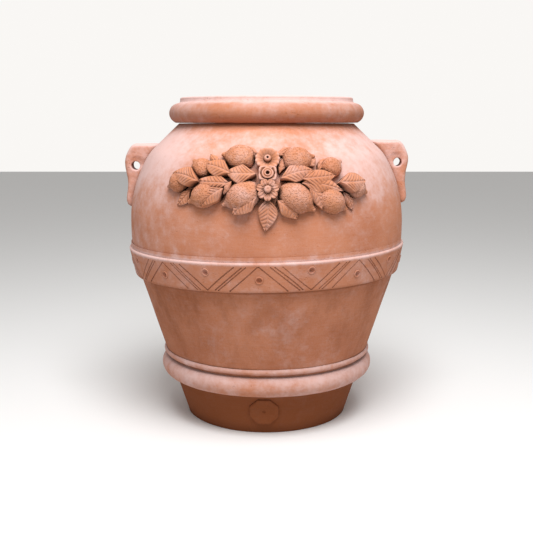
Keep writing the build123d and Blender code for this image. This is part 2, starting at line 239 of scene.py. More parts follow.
def uneven(obj, texture, strength, middle=1.0):
    apply_modifier(
        obj, "DISPLACE", texture=texture, strength=strength, mid_level=middle, texture_coords="LOCAL"
    )


def hand_made(obj, waves, marks):
    """Slow waves and the marks of hands, both in millimetres."""
    uneven(obj, slow_waves, waves * MM)
    uneven(obj, hand_marks, marks * MM)


def soften(obj, lumps, levels=1):
    """Rounds a pressed piece, then lays small lumps on it, in millimetres."""
    apply_modifier(obj, "SUBSURF", levels=levels, render_levels=levels)
    uneven(obj, fine_lumps, lumps * MM, 0.5)


# %% [markdown]
# ## Node groups for fired clay
# The finish is one family: a sandy grain with small pits, a pale bloom of salts where the jar dried,
# painted shade in hollows and narrow grooves, and wear with a painted highlight on the ridges. Each
# effect is a group, made once, that puts out a mask or a height. The shader itself stays in each
# material.


# %% Making groups
def new_group(name, inputs, outputs):
    """A node group. An input without a default is a vector, and every other socket is a number."""
    tree = bpy.data.node_groups.new(name, "ShaderNodeTree")
    for label, default in inputs.items():
        kind = "NodeSocketVector" if default is None else "NodeSocketFloat"
        socket = tree.interface.new_socket(name=label, in_out="INPUT", socket_type=kind)
        if default is not None:
            socket.default_value = default
    for label in outputs:
        tree.interface.new_socket(name=label, in_out="OUTPUT", socket_type="NodeSocketFloat")
    return tree, tree.nodes.new("NodeGroupInput"), tree.nodes.new("NodeGroupOutput")


def put(tree, kind, inputs=None, **settings):
    """Adds a node. Inputs are values or sockets to link, by name or number."""
    node = tree.nodes.new(kind)
    for key, value in settings.items():
        setattr(node, key, value)
    for key, value in (inputs or {}).items():
        if isinstance(value, bpy.types.NodeSocket):
            tree.links.new(value, node.inputs[key])
        else:
            node.inputs[key].default_value = value
    return node


def maths(tree, operation, first, second=0.0):
    return put(tree, "ShaderNodeMath", {0: first, 1: second}, operation=operation).outputs[0]


def times(tree, first, second):
    return maths(tree, "MULTIPLY", first, second)


def plus(tree, first, second):
    return maths(tree, "ADD", first, second)


def spread(tree, value, low, high, to_low=0.0, to_high=1.0):
    """Maps a value from one range to another, softly at both ends."""
    inputs = {"Value": value, "From Min": low, "From Max": high, "To Min": to_low, "To Max": to_high}
    return put(tree, "ShaderNodeMapRange", inputs, interpolation_type="SMOOTHSTEP").outputs[0]


def noise(tree, vector, scale, detail=3.0, roughness=0.55):
    inputs = {"Vector": vector, "Scale": scale, "Detail": detail, "Roughness": roughness}
    return put(tree, "ShaderNodeTexNoise", inputs).outputs["Fac"]


def stretched(tree, vector, scale):
    return put(tree, "ShaderNodeMapping", {"Vector": vector, "Scale": scale}).outputs[0]


# %% Grain, with pits and grog
def make_grain():
    given_sockets = {"Vector": None, "Pits": 0.5, "Pores": 0.0}
    tree, given, out = new_group("clay_grain", given_sockets, ("Tone", "Height"))
    place = given.outputs["Vector"]
    fine = noise(tree, place, 900, 2)
    sand = noise(tree, place, 260, 4, 0.7)
    brushed = noise(tree, stretched(tree, place, (30, 30, 260)), 1, 3)
    cells = put(tree, "ShaderNodeTexVoronoi", {"Vector": place, "Scale": 130.0, "Randomness": 1.0})
    rare = spread(tree, noise(tree, place, 45, 2), 0.5, 0.62)
    pit = spread(tree, cells.outputs["Distance"], 0.10, 0.26, 1, 0)
    pit = times(tree, times(tree, pit, rare), given.outputs["Pits"])
    height = plus(tree, times(tree, fine, 0.25), times(tree, sand, 0.45))
    height = plus(tree, height, times(tree, brushed, 0.16))
    height = maths(tree, "SUBTRACT", height, pit)
    pore_cells = put(tree, "ShaderNodeTexVoronoi", {"Vector": place, "Scale": 290.0, "Randomness": 1.0})
    pore = spread(tree, pore_cells.outputs["Distance"], 0.12, 0.5, 1, 0)
    pore = times(tree, pore, given.outputs["Pores"])
    height = maths(tree, "SUBTRACT", height, pore)
    tone = plus(tree, times(tree, sand, 0.6), times(tree, brushed, 0.4))
    tone = maths(tree, "SUBTRACT", tone, times(tree, pit, 0.6))
    tone = maths(tree, "SUBTRACT", tone, times(tree, pore, 0.35))
    tree.links.new(tone, out.inputs["Tone"])
    tree.links.new(height, out.inputs["Height"])
    return tree


# %% Bloom, patchy and streaked
def make_bloom():
    tree, given, out = new_group("salt_bloom", {"Vector": None, "Amount": 0.5}, ("Mask",))
    place = given.outputs["Vector"]
    patches = noise(tree, place, 5.5, 4, 0.6)
    mottle = noise(tree, place, 38, 5, 0.7)
    streaks = noise(tree, stretched(tree, place, (26, 26, 2.2)), 1, 4, 0.6)
    mixed = plus(tree, times(tree, patches, 0.9), times(tree, mottle, 0.9))
    mixed = plus(tree, mixed, times(tree, streaks, 0.2))
    pushed = plus(tree, mixed, maths(tree, "SUBTRACT", given.outputs["Amount"], 1.0))
    tree.links.new(spread(tree, pushed, 0.2, 0.95), out.inputs["Mask"])
    return tree


# %% Painted shade in hollows and grooves, and wear with a painted highlight on ridges
def make_relief_shading():
    tree, given, out = new_group("relief_shade_and_highlight", {"Reach": 12 * MM}, ("Hollow", "Ridge", "Groove"))
    # Hollow is painted shade from ambient occlusion, Groove is painted shade in narrow creases, Ridge is
    # wear with a painted highlight
    shade = put(tree, "ShaderNodeAmbientOcclusion", {"Distance": given.outputs["Reach"]}, samples=6)
    hollow = spread(tree, shade.outputs["AO"], 0.28, 0.97, 1, 0)
    point = put(tree, "ShaderNodeNewGeometry").outputs["Pointiness"]
    tree.links.new(hollow, out.inputs["Hollow"])
    tree.links.new(spread(tree, point, 0.505, 0.56), out.inputs["Ridge"])
    tree.links.new(spread(tree, point, 0.44, 0.492, 1, 0), out.inputs["Groove"])
    return tree


grain_group = make_grain()
bloom_group = make_bloom()
relief_group = make_relief_shading()
print("node groups:", grain_group.name, bloom_group.name, relief_group.name)

# %% [markdown]
# ## Materials
# The same clay looks different in each zone. The leaning lower wall stays a warm brown with damp
# patches under the belt, a painted shadow right under it and painted shade at the foot. The shoulder
# carries a pale pink bloom, most of all at the sides, thinned under the rim as painted shade. The roll
# of the rim is darker than its pale lip, with painted shade on the roll and a painted highlight in the
# lip's bloom. The handles are pale on top, partly painted light, and warm with painted shade round the
# hole. The garland is warmest, with painted shade in its crevices and veins, and pale on its ridges
# from wear and a painted highlight.


# %% Shared colour steps
def mix(tree, share, under, over):
    return put(tree, "ShaderNodeMix", {0: share, 6: under, 7: over}, data_type="RGBA").outputs[2]


def new_material(name):
    material = bpy.data.materials.new(name)
    material.use_nodes = True
    return material, material.node_tree, material.node_tree.nodes["Principled BSDF"]


def use_group(tree, group, **inputs):
    return put(tree, "ShaderNodeGroup", inputs, node_tree=group)


def clay_material(name, warm, zone, pits, pores, bump, reach, hollow_shade, ridge_wear_and_highlight=0.0, groove_shade=0.0):
    """A fired clay. Zone returns its amounts of bloom and darkness, the darkness partly damp clay and
    partly painted shade; bump and reach are in mm.
    """
    material, tree, shader = new_material(name)
    place = put(tree, "ShaderNodeTexCoord").outputs["Object"]
    grain = use_group(tree, grain_group, Vector=place, Pits=pits, Pores=pores)
    amount, dark = zone(tree, place)
    marks = use_group(tree, bloom_group, Vector=place, Amount=amount)
    relief = use_group(tree, relief_group, Reach=reach * MM)
    tone = spread(tree, grain.outputs["Tone"], 0.3, 0.7)
    slow = spread(tree, noise(tree, place, 9, 3), 0.3, 0.7)
    colour = mix(tree, times(tree, slow, 0.6), warm, deep_clay)
    colour = mix(tree, times(tree, tone, 0.12), colour, pale_clay)
    colour = mix(tree, times(tree, marks.outputs["Mask"], 0.85), colour, pale_clay)
    # Darkening towards damp brown: damp patches, and painted shade where a zone asks for it
    colour = mix(tree, dark, colour, damp_and_shaded_clay)
    # Painted shade in grooves and hollows, and wear with a painted highlight on the ridges
    wear_and_painted_light = (("Ridge", ridge_wear_and_highlight, pale_clay), ("Groove", groove_shade, painted_shade), ("Hollow", hollow_shade, painted_shade))
    for mark, share, over in wear_and_painted_light:
        colour = mix(tree, times(tree, relief.outputs[mark], share), colour, over)
    tree.links.new(colour, shader.inputs["Base Color"])
    rough = spread(tree, grain.outputs["Tone"], 0.2, 0.8, 0.97, 0.78)
    tree.links.new(rough, shader.inputs["Roughness"])
    shader.inputs["Specular IOR Level"].default_value = clay_shine
    bumps = {"Height": grain.outputs["Height"], "Strength": 1.0, "Distance": bump * MM}
    bumped = put(tree, "ShaderNodeBump", bumps)
    tree.links.new(bumped.outputs[0], shader.inputs["Normal"])
    return material


# %% Zones of bloom and darkness on the jar, with painted light and shade among them
def axes_of(tree, place):
    return put(tree, "ShaderNodeSeparateXYZ", {0: place}).outputs


def belt_level(tree, axes):
    """Height measured square to the belt, which is tilted a little."""
    return maths(tree, "SUBTRACT", axes[2], times(tree, axes[0], math.tan(belt_tilt)))


def lower_zone(tree, place):
    """Little bloom, damp patches that fade downwards from the belt, a thin painted shadow right under it,
    a darker foot that is partly damp and partly painted shade, and a darker left side.
    """
    axes = axes_of(tree, place)
    level = belt_level(tree, axes)
    streak = spread(tree, noise(tree, stretched(tree, place, (12, 12, 5)), 1, 5, 0.7), 0.38, 0.7)
    near_belt = spread(tree, axes[2], 0.17, 0.372, 0.25, 0.42)
    # Darker foot: partly damp clay, partly painted shade under the foot roll
    foot = spread(tree, axes[2], 0.085, 0.15, 0.86, 0.05)
    # Darker towards the left side
    darker_left_side = spread(tree, axes[0], -0.30, 0.1, 0.24, 0.04)
    # Painted shadow right under the belt
    painted_belt_shadow = spread(tree, level, belt_bottom - 9 * MM, belt_bottom, 0.0, 0.75)
    dark = plus(tree, times(tree, streak, near_belt), darker_left_side)
    dark = maths(tree, "MAXIMUM", maths(tree, "MAXIMUM", dark, foot), painted_belt_shadow)
    return 0.25, dark


def shoulder_zone(tree, place):
    """Bloom that thickens up the shoulder and towards the sides, and thins right under the rim, which
    paints the rim's shadow there.
    """
    axes = axes_of(tree, place)
    side = spread(tree, maths(tree, "ABSOLUTE", axes[0]), 0.06, 0.30)
    high = spread(tree, axes[2], 0.50, 0.67)
    thick = times(tree, plus(tree, times(tree, side, 0.24), 0.27), high)
    amount = plus(tree, plus(tree, thick, times(tree, side, 0.02)), 0.31)
    # Less bloom right under the rim: painted shade
    shade_under_rim = spread(tree, axes[2], 0.70, 0.735, 0.0, 0.32)
    return maths(tree, "SUBTRACT", amount, shade_under_rim), 0.0


def moulding_zone(tree, place):
    """Bloom all over. It grows on faces that look up, partly bloom and partly painted light from above,
    and most of all on the lip of the rim, partly bloom and partly a painted highlight. The roll below the
    lip gets painted shade.
    """
    normal = put(tree, "ShaderNodeNewGeometry").outputs["Normal"]
    # Paler on faces that look up: partly bloom, partly painted light from above
    up = spread(tree, axes_of(tree, normal)[2], -0.3, 0.95, 0.0, 0.2)
    axes = axes_of(tree, place)
    base = spread(tree, axes[2], 0.2, 0.6, 0.45, 0.30)
    side = spread(tree, maths(tree, "ABSOLUTE", axes[0]), 0.08, 0.25, 0.0, 0.12)
    # Pale lip: partly bloom, partly a painted highlight
    lip = spread(tree, axes[2], jar_height - 22 * MM, jar_height - 9 * MM)
    amount = plus(tree, plus(tree, up, side), base)
    amount = plus(tree, amount, times(tree, lip, 0.42))
    # Painted shade on the roll below the lip
    roll = spread(tree, axes[2], 0.68, 0.72, 0.0, 0.26)
    return amount, times(tree, roll, maths(tree, "SUBTRACT", 1.0, lip))


def handle_zone(tree, place):
    """Pale on top, partly from salts and partly painted light from above, and warm, with painted shade,
    in the hollow round the hole.
    """
    normal = put(tree, "ShaderNodeNewGeometry").outputs["Normal"]
    # Bloom follows how far a face looks up: painted light on top, painted shade where faces turn away
    return spread(tree, axes_of(tree, normal)[2], -0.1, 0.8, 0.47, 0.9), 0.0


def belt_zone(tree, place):
    """A pale lip, partly worn and partly a painted highlight, and a darker band along the bottom edge."""
    axes = axes_of(tree, place)
    level = belt_level(tree, axes)
    # Pale lip: partly wear and bloom, partly a painted highlight
    lip = spread(tree, level, belt_lip - 6 * MM, belt_lip + 2 * MM, 0.36, 0.8)
    above = spread(tree, level, belt_lip + 4 * MM, belt_lip + 12 * MM, 0.0, 0.38)
    # Darker towards the bottom edge
    dark_bottom_edge = spread(tree, level, belt_bottom, belt_bottom + 8 * MM, 0.3, 0.0)
    return maths(tree, "SUBTRACT", lip, above), dark_bottom_edge


def garland_zone(tree, place):
    """A light bloom, the same all over."""
    return 0.38, 0.0


# %% The materials
belt_tilt = math.radians(1)
belt_bottom = 371 * MM
belt_lip = 436 * MM
warm_clay = (0.60, 0.235, 0.125, 1)
deep_clay = (0.47, 0.16, 0.075, 1)
pale_clay = (0.77, 0.55, 0.525, 1)
# Dark damp brown, used for damp patches and also as painted shade at the foot, under the belt and on the
# roll of the rim
damp_and_shaded_clay = (0.21, 0.055, 0.013, 1)
relief_clay = (0.60, 0.235, 0.11, 1)
# Colour of the shade painted into hollows and grooves
painted_shade = (0.045, 0.014, 0.006, 1)
clay_shine = 0.15
wall_low = clay_material(
    "clay_lower_wall", warm_clay, lower_zone, pits=0.5, pores=0.05, bump=0.9, reach=30, hollow_shade=0.3
)
wall_high = clay_material(
    "clay_shoulder", warm_clay, shoulder_zone, pits=0.5, pores=0.05, bump=0.8, reach=25, hollow_shade=0.12
)
moulding = clay_material(
    "clay_moulding", warm_clay, moulding_zone, pits=1.0, pores=0.1, bump=1.1, reach=20, hollow_shade=0.5
)
belt_clay = clay_material(
    "clay_belt", warm_clay, belt_zone, pits=0.7, pores=0.05, bump=0.9, reach=7, hollow_shade=0.8
)
handle_clay = clay_material(
    "clay_handle", warm_clay, handle_zone, pits=0.8, pores=0.1, bump=1.0, reach=20,
    hollow_shade=0.5, ridge_wear_and_highlight=0.2,
)
relief = dict(warm=relief_clay, zone=garland_zone, hollow_shade=1.0)
fruit_clay = clay_material(
    "clay_fruit", pits=0.3, pores=0.9, bump=1.3, reach=14, ridge_wear_and_highlight=0.4, groove_shade=0.3, **relief
)
leaf_clay = clay_material(
    "clay_leaf", pits=0.2, pores=0.05, bump=0.6, reach=13, ridge_wear_and_highlight=0.5, groove_shade=0.55, **relief
)
print("materials:", len(bpy.data.materials))


# %% Dressing a finished piece
def dress(obj, node, material, angle=38):
    """Gives a piece its finish, and ties it to the frame in place of its node."""
    named(obj, "clay_" + node)
    only(obj)
    bpy.ops.object.shade_smooth_by_angle(angle=math.radians(angle))
    obj.data.materials.clear()
    obj.data.materials.append(material)
    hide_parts(node)
    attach(obj, "root")
    triangles = sum(len(p.vertices) - 2 for p in obj.data.polygons)
    reach = max(max(abs(v.co.x), abs(v.co.y)) for v in obj.data.vertices)
    print(obj.name, triangles, "triangles, reaches", round(reach, 3))
    return obj


# %% [markdown]
# ## The wall, in three stages
# The potter builds the wall in stages and lets each one stiffen. Each stage is a ring with an outer
# and an inner face. We draw its section and spin it, which keeps the wall's thickness right, then
# let the slow waves of the hand-made surface in.

# %% Sections of the wall
around = 288


def stage(name, low, high, rows, material):
    outer = [(wall_at(h)[0], h) for h in np.linspace(low, high, rows)]
    inner = [(inner_radius(h), h) for h in np.linspace(high, low, rows // 2)]
    obj = spun(name, outer + inner, around)
    hand_made(obj, 1.6, 0.5)
    return dress(obj, name, material)


stage("foot_section", 0.0, foot_join, 16, wall_low)
stage("lower_belly", foot_join, belt_join, 34, wall_low)
stage("shoulder_section", belt_join, neck_top, 44, wall_high)

# %% [markdown]
# ## Floor
# The floor is a disc inside the first ring, with a drain hole. It is a spun ring with small rounded
# edges at the hole, where a finger wipes the wet clay.

# %% Floor slab
edge = 2 * MM
seam = 0.2 * MM
slab_radius = inner_radius(0) - seam
slab_top_radius = inner_radius(floor_thickness) - seam
slab = [(slab_radius, 0), (slab_top_radius, floor_thickness), (0.6 * slab_top_radius, floor_thickness)]
slab += arc((drain_radius + edge, floor_thickness - edge), edge, 90, 180, 5)
slab += arc((drain_radius + edge, edge), edge, 180, 270, 5)
slab += [(0.6 * slab_radius, 0)]
clay_floor = spun("floor_slab", slab, 96)
dress(clay_floor, "floor_slab", wall_low)

# %% [markdown]
# ## Rim
# The rim is a thick roll of clay with a low lip standing on it. Its section is part of an ellipse
# with a rounded tab on top. A little fillet of smeared clay fills the corner between the two.

# %% Rolled rim
roll_half_width = 27.5 * MM
roll_half_height = 26 * MM
lip_width = 28 * MM
lip_round = 5 * MM
lip_height = 13 * MM
rim_set_back = 3 * MM
roll_centre = wall_at(neck_top)[0] - rim_set_back
roll_height = jar_height - lip_height - roll_half_height
roll_low = math.asin((neck_top - roll_height) / roll_half_height)
rim_section = [(roll_centre - lip_width, neck_top), (roll_centre - lip_width, neck_top + 20 * MM)]
rim_section += arc((roll_centre - lip_width + lip_round, jar_height - lip_round), lip_round, 180, 90, 6)
rim_section += arc((roll_centre - lip_round, jar_height - lip_round), lip_round, 90, 0, 6)
rim_section += [(roll_centre + 0.4 * MM, jar_height - lip_height + 2 * MM)]
for turn in np.linspace(math.radians(84), roll_low, 22):
    out, up = roll_half_width * math.cos(turn), roll_half_height * math.sin(turn)
    rim_section.append((roll_centre + out, roll_height + up))
clay_rim = spun("rim", rim_section, around)
hand_made(clay_rim, 1.2, 1.0)
dress(clay_rim, "rim", moulding, 50)

# %% [markdown]
# ## Coils at the foot
# A thick coil and a thin one are laid round the leaning wall and pressed on. Each is the outer part
# of a circle; its back lies just inside the wall, where it can't be seen.


# %% Coils
def coil(name, height, radius, sink):
    centre = (wall_at(height)[0] - sink, height)
    half = math.degrees(math.acos(sink / radius)) + 4
    middle = -math.degrees(lean)
    section = arc(centre, radius, middle - half, middle + half, 26)
    obj = spun(name, section, around)
    hand_made(obj, 1.0, 0.9)
    return dress(obj, name, moulding, 60)


coil("foot_roll", 130 * MM, 27 * MM, 2.3 * MM)
coil("foot_bead", 167.5 * MM, 8.5 * MM, 1.6 * MM)

# %% [markdown]
# ## Belt
# The belt is a flat band with a rounded upper lip. While it was soft, a zigzag of lines was drawn
# into it with a stick and a dimple pressed into each triangle, which pushed up a low ring of clay.
# Boolean cutters leave real grooves, crisp where the clay parted. Each cutter is made flat, then
# wrapped on the belt, because a straight stick would leave the round face at both ends.

# %% Belt blank
belt_top = 452 * MM
belt_low_radius = wall_at(belt_bottom)[0] + 9.8 * MM
belt_high_radius = wall_at(belt_lip)[0] + 7.2 * MM
lip_radius = 5 * MM
behind = 3 * MM
back_height = 400 * MM
belt_section = [(wall_at(belt_bottom)[0] - behind, belt_bottom + 1 * MM)]
belt_section += arc((belt_low_radius - 2 * MM, belt_bottom + 2 * MM), 2 * MM, 270, 350, 4)
for share in np.linspace(0.08, 0.97, 9):
    face = belt_low_radius + share * (belt_high_radius - belt_low_radius)
    belt_section.append((face, belt_bottom + share * (belt_lip - belt_bottom)))
belt_section += arc((belt_high_radius - lip_radius, belt_lip), lip_radius, 0, 90, 7)
belt_section += [(wall_at(belt_top)[0] + 0.5 * MM, belt_top), (wall_at(belt_top)[0] - behind, belt_top)]
belt_section += [(wall_at(height)[0] - behind, height) for height in (belt_lip, back_height)]
clay_belt = spun("belt", belt_section, 300)
uneven(clay_belt, slow_waves, 0.9 * MM)


# %% Wrapping a flat cutter on the belt
def wrap(obj, angle, height):
    """Bends a cutter round the jar. Its x runs round, its y up and its z out of the face."""
    for vertex in obj.data.vertices:
        x, y, z = vertex.co
        share = (height + y - belt_bottom) / (belt_lip - belt_bottom)
        radius = belt_low_radius + share * (belt_high_radius - belt_low_radius) + z
        turn = angle + x / belt_high_radius
        vertex.co = (radius * math.sin(turn), -radius * math.cos(turn), height + y)


def cut(obj, cutters, operation="DIFFERENCE"):
    """Takes a list of cutters out of a piece, or adds them to it, and deletes them."""
    cutter = joined(cutters)
    apply_modifier(obj, "BOOLEAN", object=cutter, operation=operation, solver="EXACT", use_self=True)
    bpy.data.objects.remove(cutter)


# %% The incised zigzag
hand = random.Random(7)
line_margin = 4 * MM
line_lean = math.radians(50)
line_width = 3.4 * MM
line_deepening = 1.25
line_shares = (0, 0.5, 0.66, 1)
periods = 9
half_period = math.pi / periods
zigzag_start = math.radians(-3)
belt_middle = (belt_bottom + belt_lip) / 2
rise = belt_lip - belt_bottom - 2 * line_margin
run = rise * math.tan(line_lean)
line_length = rise / math.cos(line_lean)
group_width = half_period * belt_high_radius - run


def stick_line(length):
    """A round-nosed stick, laid flat along x, with enough rings to bend."""
    bpy.ops.mesh.primitive_cylinder_add(
        vertices=8, radius=line_width / 2, depth=length, rotation=(0, math.pi / 2, 0)
    )
    obj = bpy.context.object
    bpy.ops.object.transform_apply(location=False, rotation=True, scale=True)
    start_edit(obj)
    for side in range(1, 10):
        bpy.ops.mesh.select_all(action="SELECT")
        bpy.ops.mesh.bisect(plane_co=(length * (side / 10 - 0.5), 0, 0), plane_no=(1, 0, 0))
    end_edit()
    return obj


for side in (-1, 1):
    sticks = []
    for period in range(periods):
        upper_point = zigzag_start + period * 2 * half_period
        for share in line_shares:
            stick = stick_line(line_length * hand.uniform(0.97, 1.02))
            bow = hand.uniform(-1.2, 1.2) * MM
            for vertex in stick.data.vertices:
                vertex.co.y += bow * (1 - (2 * vertex.co.x / line_length) ** 2)
                vertex.co.z *= line_deepening
            tilt = side * (-math.pi / 2 + line_lean) + hand.uniform(-0.02, 0.02)
            lifted = Matrix.Translation((0, 0, hand.uniform(0, 0.35) * MM))
            apply_place(stick, lifted @ Matrix.Rotation(tilt, 4, "Z"))
            middle = upper_point + side * (run / 2 + share * group_width) / belt_high_radius
            wrap(stick, middle, belt_middle)
            sticks.append(stick)
    cut(clay_belt, sticks)
print("belt after the lines:", len(clay_belt.data.polygons), "faces")


# %% Pressed dimples
dimple_radius = 6.4 * MM
dimple_depth = 4.4 * MM
dimple_heights = (401, 419)
ring_radius = 7.3 * MM
ring_thickness = 2.3 * MM
ring_sink = 1 * MM


def presser(radius, depth, angle, height):
    """A ball that leaves a round mark of a radius and a depth."""
    ball = (radius**2 + depth**2) / (2 * depth)
    bpy.ops.mesh.primitive_uv_sphere_add(
        segments=40, ring_count=30, radius=ball, location=(0, 0, ball - depth)
    )
    obj = bpy.context.object
    bpy.ops.object.transform_apply(location=True)
    wrap(obj, angle, height)
    return obj


def pushed_ring(angle, height):
    """The low ring of clay that is pushed up round a dimple."""
    bpy.ops.mesh.primitive_torus_add(
        major_segments=36, minor_segments=12, major_radius=ring_radius, minor_radius=ring_thickness,
        location=(0, 0, -ring_sink),
    )
    obj = bpy.context.object
    bpy.ops.object.transform_apply(location=True)
    wrap(obj, angle, height)
    return obj


rings = []
pits = []
for step in range(2 * periods):
    height = dimple_heights[step % 2] * MM + hand.uniform(-1.5, 1.5) * MM
    turn = zigzag_start + step * half_period + hand.uniform(-0.006, 0.006)
    rings.append(pushed_ring(turn, height))
    pits.append(presser(dimple_radius, dimple_depth, turn, height))
cut(clay_belt, rings, "UNION")
cut(clay_belt, pits)
to_middle = Matrix.Translation((0, 0, belt_middle))
apply_place(clay_belt, to_middle @ Matrix.Rotation(-belt_tilt, 4, "Y") @ to_middle.inverted())
dress(clay_belt, "belt", belt_clay, 32)

# %% [markdown]
# ## Ear handles
# Each handle is a tongue of clay bent over and pressed on to the shoulder, then pierced and thumbed
# thin round the hole. We draw its outline from the side, extrude it to its width, drill it and press
# the thumb marks. A remesh turns all of it into one even skin, which a smooth pass softens as clay is.

# %% Handle
handle_width = 46 * MM
hole_radius = 10.2 * MM
hole_out = 328.5 * MM
handle_above = 55 * MM
handle_below = 103 * MM
handle_embedded = 9 * MM
ear_out = 28.2 * MM
ear_rounding = 10.5 * MM
thumb_ball = 44 * MM
thumb_depth = 5.5 * MM
thumb_out = -4 * MM
thumb_up = 6 * MM

# The underside of the ear, as x and height from the hole in millimetres
ear_under = (
    (27.2, -3), (24.6, -16), (22.2, -30), (21.5, -45), (22.8, -60), (25, -76), (26, -89), (23, -98),
    (15, -103),
)


def handle_outline(hole_height):
    """The outline from the side, as x and height from the hole."""
    points = []
    for t in np.linspace(0, math.pi / 2, 10):
        points.append((ear_out * math.sin(t) ** 1.15, (8 + 46.5 * max(0, math.cos(t)) ** 1.35) * MM))
    points += [(x * MM, z * MM) for x, z in ear_under]
    for height in np.linspace(-handle_below, handle_above, 9):
        points.append((wall_at(hole_height + height)[0] - handle_embedded - hole_out, height))
    return points


def handle(name, hole_height, side):
    outline = [(x, 0, z) for x, z in handle_outline(hole_height)]
    obj = chain(name, outline + outline[:1])
    start_edit(obj)
    bpy.ops.mesh.remove_doubles(threshold=0.05 * MM)
    bpy.ops.mesh.select_all(action="SELECT")
    bpy.ops.mesh.edge_face_add()
    bpy.ops.transform.translate(value=(0, -handle_width / 2 + 1 * MM, 0))
    extrude((0, handle_width - 2 * MM, 0))
    close_skin()
    sharp = dict(limit_method="ANGLE", angle_limit=math.radians(60))
    apply_modifier(obj, "BEVEL", width=ear_rounding, segments=5, **sharp)
    bpy.ops.mesh.primitive_cylinder_add(
        vertices=48, radius=hole_radius, depth=0.1, rotation=(math.pi / 2, 0, 0)
    )
    cut(obj, [bpy.context.object])
    thumbs = []
    for face in (-1, 1):
        across = face * (handle_width / 2 + thumb_ball - thumb_depth)
        bpy.ops.mesh.primitive_uv_sphere_add(
            segments=64, ring_count=48, radius=thumb_ball, location=(thumb_out, across, thumb_up)
        )
        thumbs.append(bpy.context.object)
    cut(obj, thumbs)
    apply_modifier(obj, "REMESH", mode="VOXEL", voxel_size=1.7 * MM)
    apply_modifier(obj, "SMOOTH", factor=0.5, iterations=5)
    uneven(obj, hand_marks, 2.2 * MM, 0.75)
    turn = Matrix.Rotation(math.pi if side < 0 else 0, 4, "Z")
    apply_place(obj, turn @ Matrix.Translation((hole_out, 0, hole_height)))
    return dress(obj, name, handle_clay, 60)


handle("handle_left", 632 * MM, -1)
handle("handle_right", 641 * MM, 1)

# %% [markdown]
# ## Places on the wall
# Pieces of the garland are placed by an angle round the jar and a height. The place has its x round
# the jar, its y up the wall and its z straight out of it.


# %% Place on the wall
def on_wall(angle, height):
    radius, tilt = wall_at(height)
    turn = math.radians(angle)
    along = Vector((math.cos(turn), math.sin(turn), 0))
    outward = Vector((math.cos(tilt) * math.sin(turn), -math.cos(tilt) * math.cos(turn), math.sin(tilt)))
    place = Matrix((along, outward.cross(along), outward)).transposed().to_4x4()
    place.translation = (radius * math.sin(turn), -radius * math.cos(turn), height)
    return place


# %% [markdown]
# ## Pad low on the front
# An eight-sided pad marks where a tap could be fitted. It is a flat polygon, drawn in ring by ring
# to a shallow dish with a small hole, then bent to the round wall and tipped out a little below.

# %% Tap pad
boss_angle = -1.5
boss_height = 60 * MM
boss_across = 70 * MM
boss_thickness = 3.4 * MM
pad_tilt = 0.045

# Each ring: how far it is lifted in millimetres, and how much it is drawn in
pad_rings = (
    (8, 1), (1.4, 0.96), (0.4, 0.9), (-0.5, 0.86), (-1, 0.8), (-1, 0.72), (-0.6, 0.6), (0.3, 0.6),
    (0.2, 0.7), (-3, 0.7),
)
pad_depth = 9 * MM


def tap_pad():
    corner = boss_across / 2 / math.cos(math.pi / 8)
    bpy.ops.mesh.primitive_circle_add(
        vertices=8, radius=corner, fill_type="NGON", rotation=(0, 0, math.pi / 8)
    )
    obj = named(bpy.context.object, "tap_boss")
    bpy.ops.object.transform_apply(rotation=True)
    start_edit(obj)
    bpy.ops.mesh.subdivide(number_cuts=5)
    for lift, share in pad_rings:
        extrude((0, 0, lift * MM))
        bpy.ops.transform.resize(value=(share, share, 1), center_override=(0, 0, 0))
    close_skin()
    radius = wall_at(boss_height)[0]
    for vertex in obj.data.vertices:
        bent_back = vertex.co.x**2 / (2 * radius)
        vertex.co.z += boss_thickness - pad_depth - bent_back - pad_tilt * vertex.co.y
    soften(obj, 0.6, levels=2)
    apply_place(obj, on_wall(boss_angle, boss_height))
    return dress(obj, "tap_boss", wall_low, 60)


tap_pad()

# %% [markdown]
# ## Lemons
# The lemons were pressed in a mould, so they are about life-size, with a pointed tip and a pitted
# skin. One outline is spun about its own length. A cell texture then presses the pits, a cloud
# texture makes the swelling uneven, and the back is cut off flat where the fruit meets the wall.

# %% Layout of the lemons
garland_angle = 0.4
garland_height = 600 * MM

tip_radius = 4.0
tip_length = 8
pressed = Matrix.Diagonal((1, 1.08, 0.945, 1))

# Each lemon: angle, height above the garland's centre, direction of its tip, length, radius, rise
lemons = {
    "lemon_top_left": (-11.4, 60, 167, 66, 28, 5),
    "lemon_upper_left": (-27.3, 37, 143, 50, 22, 4),
    "lemon_far_left": (-36.4, 9, 204, 54, 23, 4),
    "lemon_lower_left": (-23.8, -17, 203, 68, 26, 4),
    "lemon_bottom_left": (-8.9, -17, 204, 80, 30, 5),
    "lemon_top_right": (12.1, 55, 15, 66, 28, 5),
    "lemon_upper_right": (26.6, 39, 28, 50, 22, 4),
    "lemon_far_right": (35.9, -3, -23, 54, 23, 4),
    "lemon_lower_right": (24.0, -29, -29, 68, 26, 4),
    "lemon_bottom_right": (10.3, -21, -35, 80, 30, 5),
}


# %% A lemon
def garland_place(angle, up):
    return on_wall(garland_angle + angle, garland_height + up * MM)


